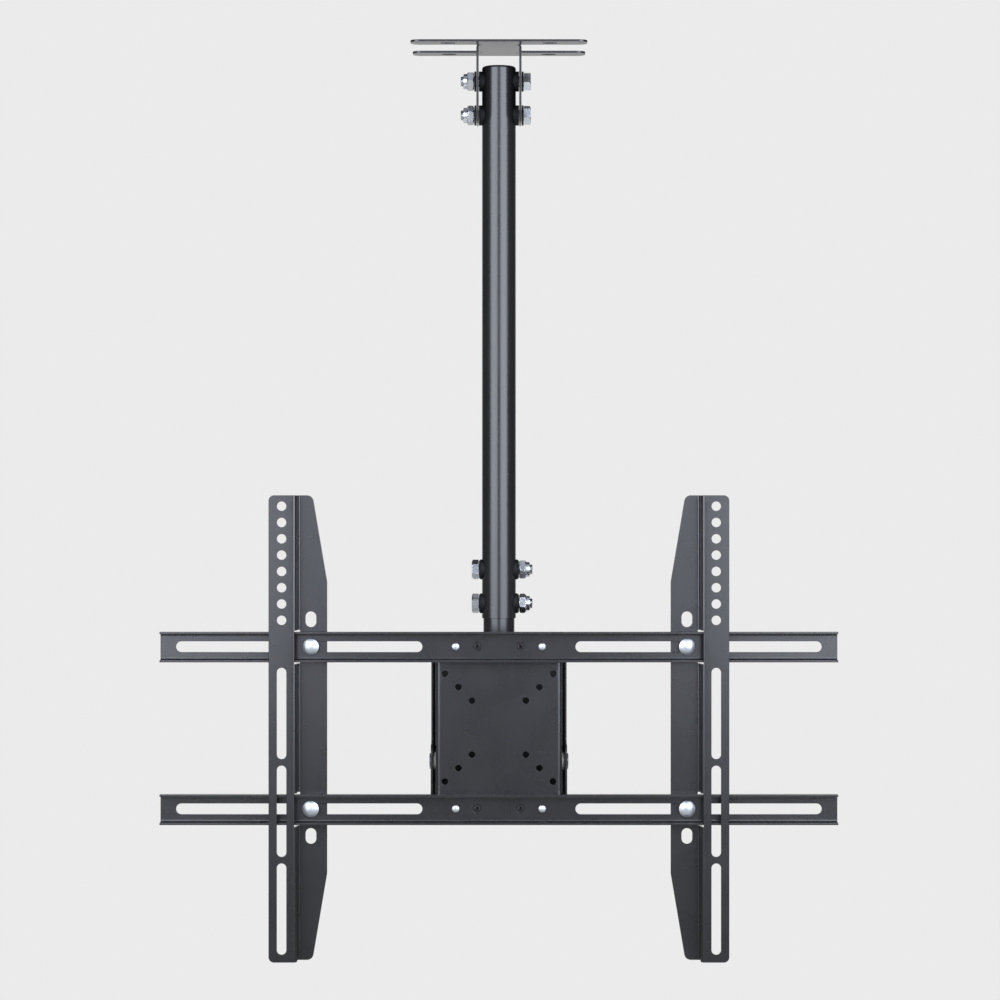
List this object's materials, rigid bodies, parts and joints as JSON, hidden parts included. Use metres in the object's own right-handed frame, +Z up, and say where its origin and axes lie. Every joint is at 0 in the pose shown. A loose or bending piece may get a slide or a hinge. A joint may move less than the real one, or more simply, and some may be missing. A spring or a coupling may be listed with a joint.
{
  "type": "tv ceiling mount",
  "caption": "TV ceiling mount: ceiling plate, round drop pole, swivel and tilt head, slotted cross rails and sliding slotted TV arms.",
  "frame": {"origin": "middle of the ceiling plate's top face, on the pole's axis", "axes": "+Z up, out of the ceiling plate's top face; +X to the right of someone who faces the screen side; the screen side faces -Y"},
  "size_m": [0.626, 0.131, 0.8541],
  "materials": {
    "black_powder_coat": "fine satin powder coat over steel",
    "bright_zinc": "bright zinc plated steel",
    "black_plastic": "moulded, satin",
    "natural_nylon": "natural nylon, satin"
  },
  "bodies": {
    "hanger": {"ceiling_plate": "black_powder_coat", "drop_pole": "black_powder_coat", "ear_washer_left_1": "black_plastic", "ear_washer_left_2": "black_plastic", "ear_washer_right_1": "black_plastic", "ear_washer_right_2": "black_plastic", "inner_tube": "black_powder_coat", "lower_bolt_1": "bright_zinc", "lower_bolt_2": "bright_zinc", "lower_nut_1": "bright_zinc", "lower_nut_2": "bright_zinc", "lower_saddle_left_1": "black_plastic", "lower_saddle_left_2": "black_plastic", "lower_saddle_right_1": "black_plastic", "lower_saddle_right_2": "black_plastic", "swivel_bolt": "bright_zinc", "swivel_nut": "bright_zinc", "swivel_washer": "natural_nylon", "upper_bolt_1": "bright_zinc", "upper_bolt_2": "bright_zinc", "upper_nut_1": "bright_zinc", "upper_nut_2": "bright_zinc", "upper_saddle_left_1": "black_plastic", "upper_saddle_left_2": "black_plastic", "upper_saddle_right_1": "black_plastic", "upper_saddle_right_2": "black_plastic"},
    "swivel": {"pivot_bolt_left": "bright_zinc", "pivot_bolt_right": "bright_zinc", "pivot_nut_left": "bright_zinc", "pivot_nut_right": "bright_zinc", "pivot_spacer_left": "natural_nylon", "pivot_spacer_right": "natural_nylon", "swivel_bracket": "black_powder_coat"},
    "head": {"head_plate": "black_powder_coat", "lock_bolt_left": "bright_zinc", "lock_bolt_right": "bright_zinc", "lock_nut_left": "bright_zinc", "lock_nut_right": "bright_zinc", "lock_spacer_left": "natural_nylon", "lock_spacer_right": "natural_nylon", "lower_rail": "black_powder_coat", "rail_screw_lower_left": "bright_zinc", "rail_screw_lower_right": "bright_zinc", "rail_screw_upper_left": "bright_zinc", "rail_screw_upper_right": "bright_zinc", "upper_rail": "black_powder_coat"},
    "arm_left": {"left_arm": "black_powder_coat", "left_carriage_bolt_lower": "bright_zinc", "left_carriage_bolt_upper": "bright_zinc", "left_carriage_nut_lower": "bright_zinc", "left_carriage_nut_upper": "bright_zinc"},
    "arm_right": {"right_arm": "black_powder_coat", "right_carriage_bolt_lower": "bright_zinc", "right_carriage_bolt_upper": "bright_zinc", "right_carriage_nut_lower": "bright_zinc", "right_carriage_nut_upper": "bright_zinc"}
  },
  "joints": [
    {"name": "head_swivel", "type": "hinge", "parent": "hanger", "child": "swivel", "pos_m": [0, 0, -0.5621], "axis": [0, 0, 1], "continuous": true},
    {"name": "head_tilt", "type": "hinge", "parent": "swivel", "child": "head", "pos_m": [0, -0.036, -0.6721], "axis": [1, 0, 0], "range_deg": [-5, 15]},
    {"name": "left_arm_slide", "type": "slide", "parent": "head", "child": "arm_left", "axis": [1, 0, 0], "range_m": [0, 0.098]},
    {"name": "right_arm_slide", "type": "slide", "parent": "head", "child": "arm_right", "axis": [-1, 0, 0], "range_m": [0, 0.098]}
  ]
}
